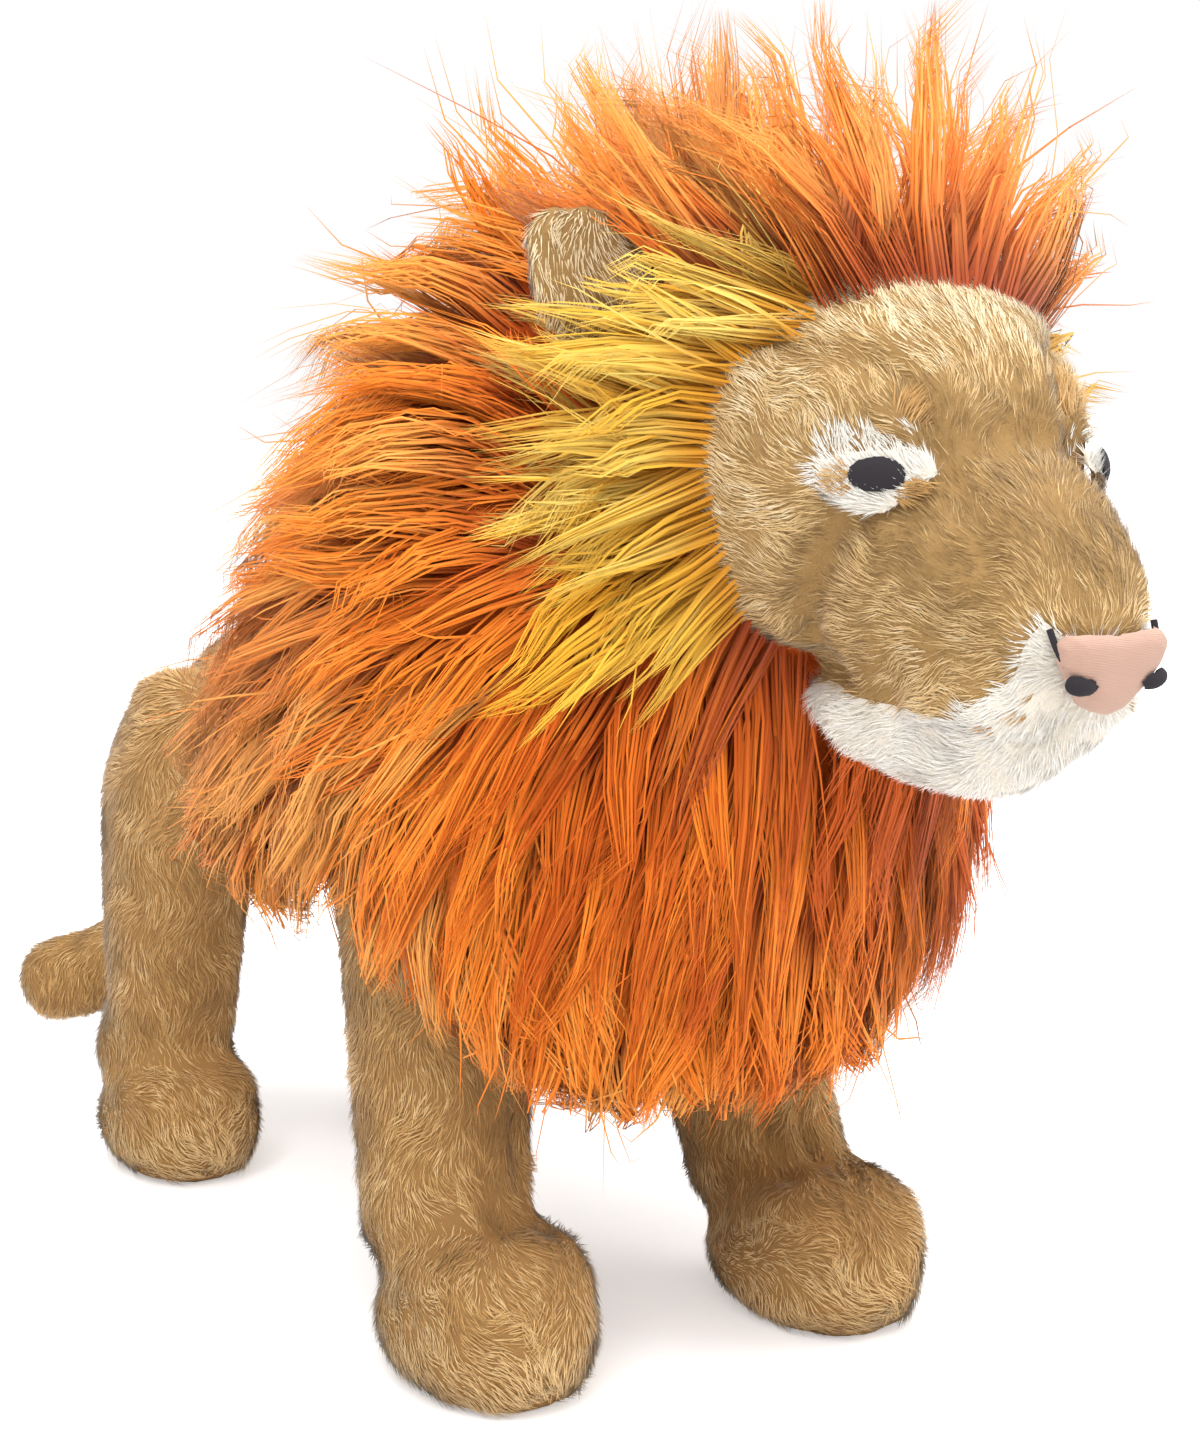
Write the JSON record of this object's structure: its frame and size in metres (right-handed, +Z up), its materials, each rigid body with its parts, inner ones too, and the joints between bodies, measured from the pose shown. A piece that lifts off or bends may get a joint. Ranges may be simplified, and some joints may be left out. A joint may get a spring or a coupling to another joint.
{
  "type": "plush lion",
  "caption": "Standing stuffed lion with a long shaggy mane, flexible neck, hanging tail and folding ears; it stands on flat soles.",
  "frame": {"origin": "centre of the whole object's footprint, at the soles' undersides", "axes": "the lion looks along -Y, its left side is +X and up is +Z"},
  "size_m": [0.2204, 0.557, 0.3574],
  "materials": {
    "black_thread": "satin-stitched black thread",
    "body_pile": "short tan plush pile",
    "face_pile": "short tan plush pile, paler",
    "nose_cloth": "smooth pink knit cloth",
    "orange_pile": "long orange plush hair",
    "sole_pile": "short pale tan pile",
    "white_pile": "short white plush pile",
    "yellow_pile": "long yellow plush hair"
  },
  "bodies": {
    "torso": {"fore_paw_left": "body_pile", "fore_paw_right": "body_pile", "fore_sole_left": "sole_pile", "fore_sole_right": "sole_pile", "foreleg_left": "body_pile", "foreleg_right": "body_pile", "hind_paw_left": "body_pile", "hind_paw_right": "body_pile", "hind_sole_left": "sole_pile", "hind_sole_right": "sole_pile", "hindleg_left": "body_pile", "hindleg_right": "body_pile", "mane_bib": "orange_pile", "mane_nape": "orange_pile", "mane_shoulder_left": "orange_pile", "mane_shoulder_right": "orange_pile", "neck": "body_pile", "torso": "body_pile"},
    "head": {"cheek_ruff_left": "yellow_pile", "cheek_ruff_right": "yellow_pile", "chin": "white_pile", "eye_left": "black_thread", "eye_patch_left": "white_pile", "eye_patch_right": "white_pile", "eye_right": "black_thread", "head": "face_pile", "mane_crest": "orange_pile", "mane_side_left": "orange_pile", "mane_side_right": "orange_pile", "mane_throat": "orange_pile", "muzzle": "face_pile", "nose": "nose_cloth", "nostril_left": "black_thread", "nostril_right": "black_thread", "upper_lip_left": "white_pile", "upper_lip_right": "white_pile"},
    "tail": {"tail": "body_pile"},
    "ear_right": {"ear_right": "face_pile"},
    "ear_left": {"ear_left": "face_pile"}
  },
  "joints": [
    {"name": "head_turn", "type": "hinge", "parent": "torso", "child": "head", "pos_m": [0, -0.1527, 0.219], "axis": [0, -0.5, 0.866], "range_deg": [-20, 20], "stiffness_Nm_per_rad": 1.2},
    {"name": "tail_lift", "type": "hinge", "parent": "torso", "child": "tail", "pos_m": [0, 0.19055, 0.152], "axis": [1, 0, 0], "range_deg": [0, 60], "stiffness_Nm_per_rad": 0.08},
    {"name": "ear_right_fold", "type": "hinge", "parent": "head", "child": "ear_right", "pos_m": [-0.03902, -0.15227, 0.28471], "axis": [0.6691, 0, 0.7431], "range_deg": [-25, 25], "stiffness_Nm_per_rad": 0.02},
    {"name": "ear_left_fold", "type": "hinge", "parent": "head", "child": "ear_left", "pos_m": [0.03904, -0.15227, 0.28473], "axis": [0.6691, 0, -0.7431], "range_deg": [-25, 25], "stiffness_Nm_per_rad": 0.02}
  ]
}
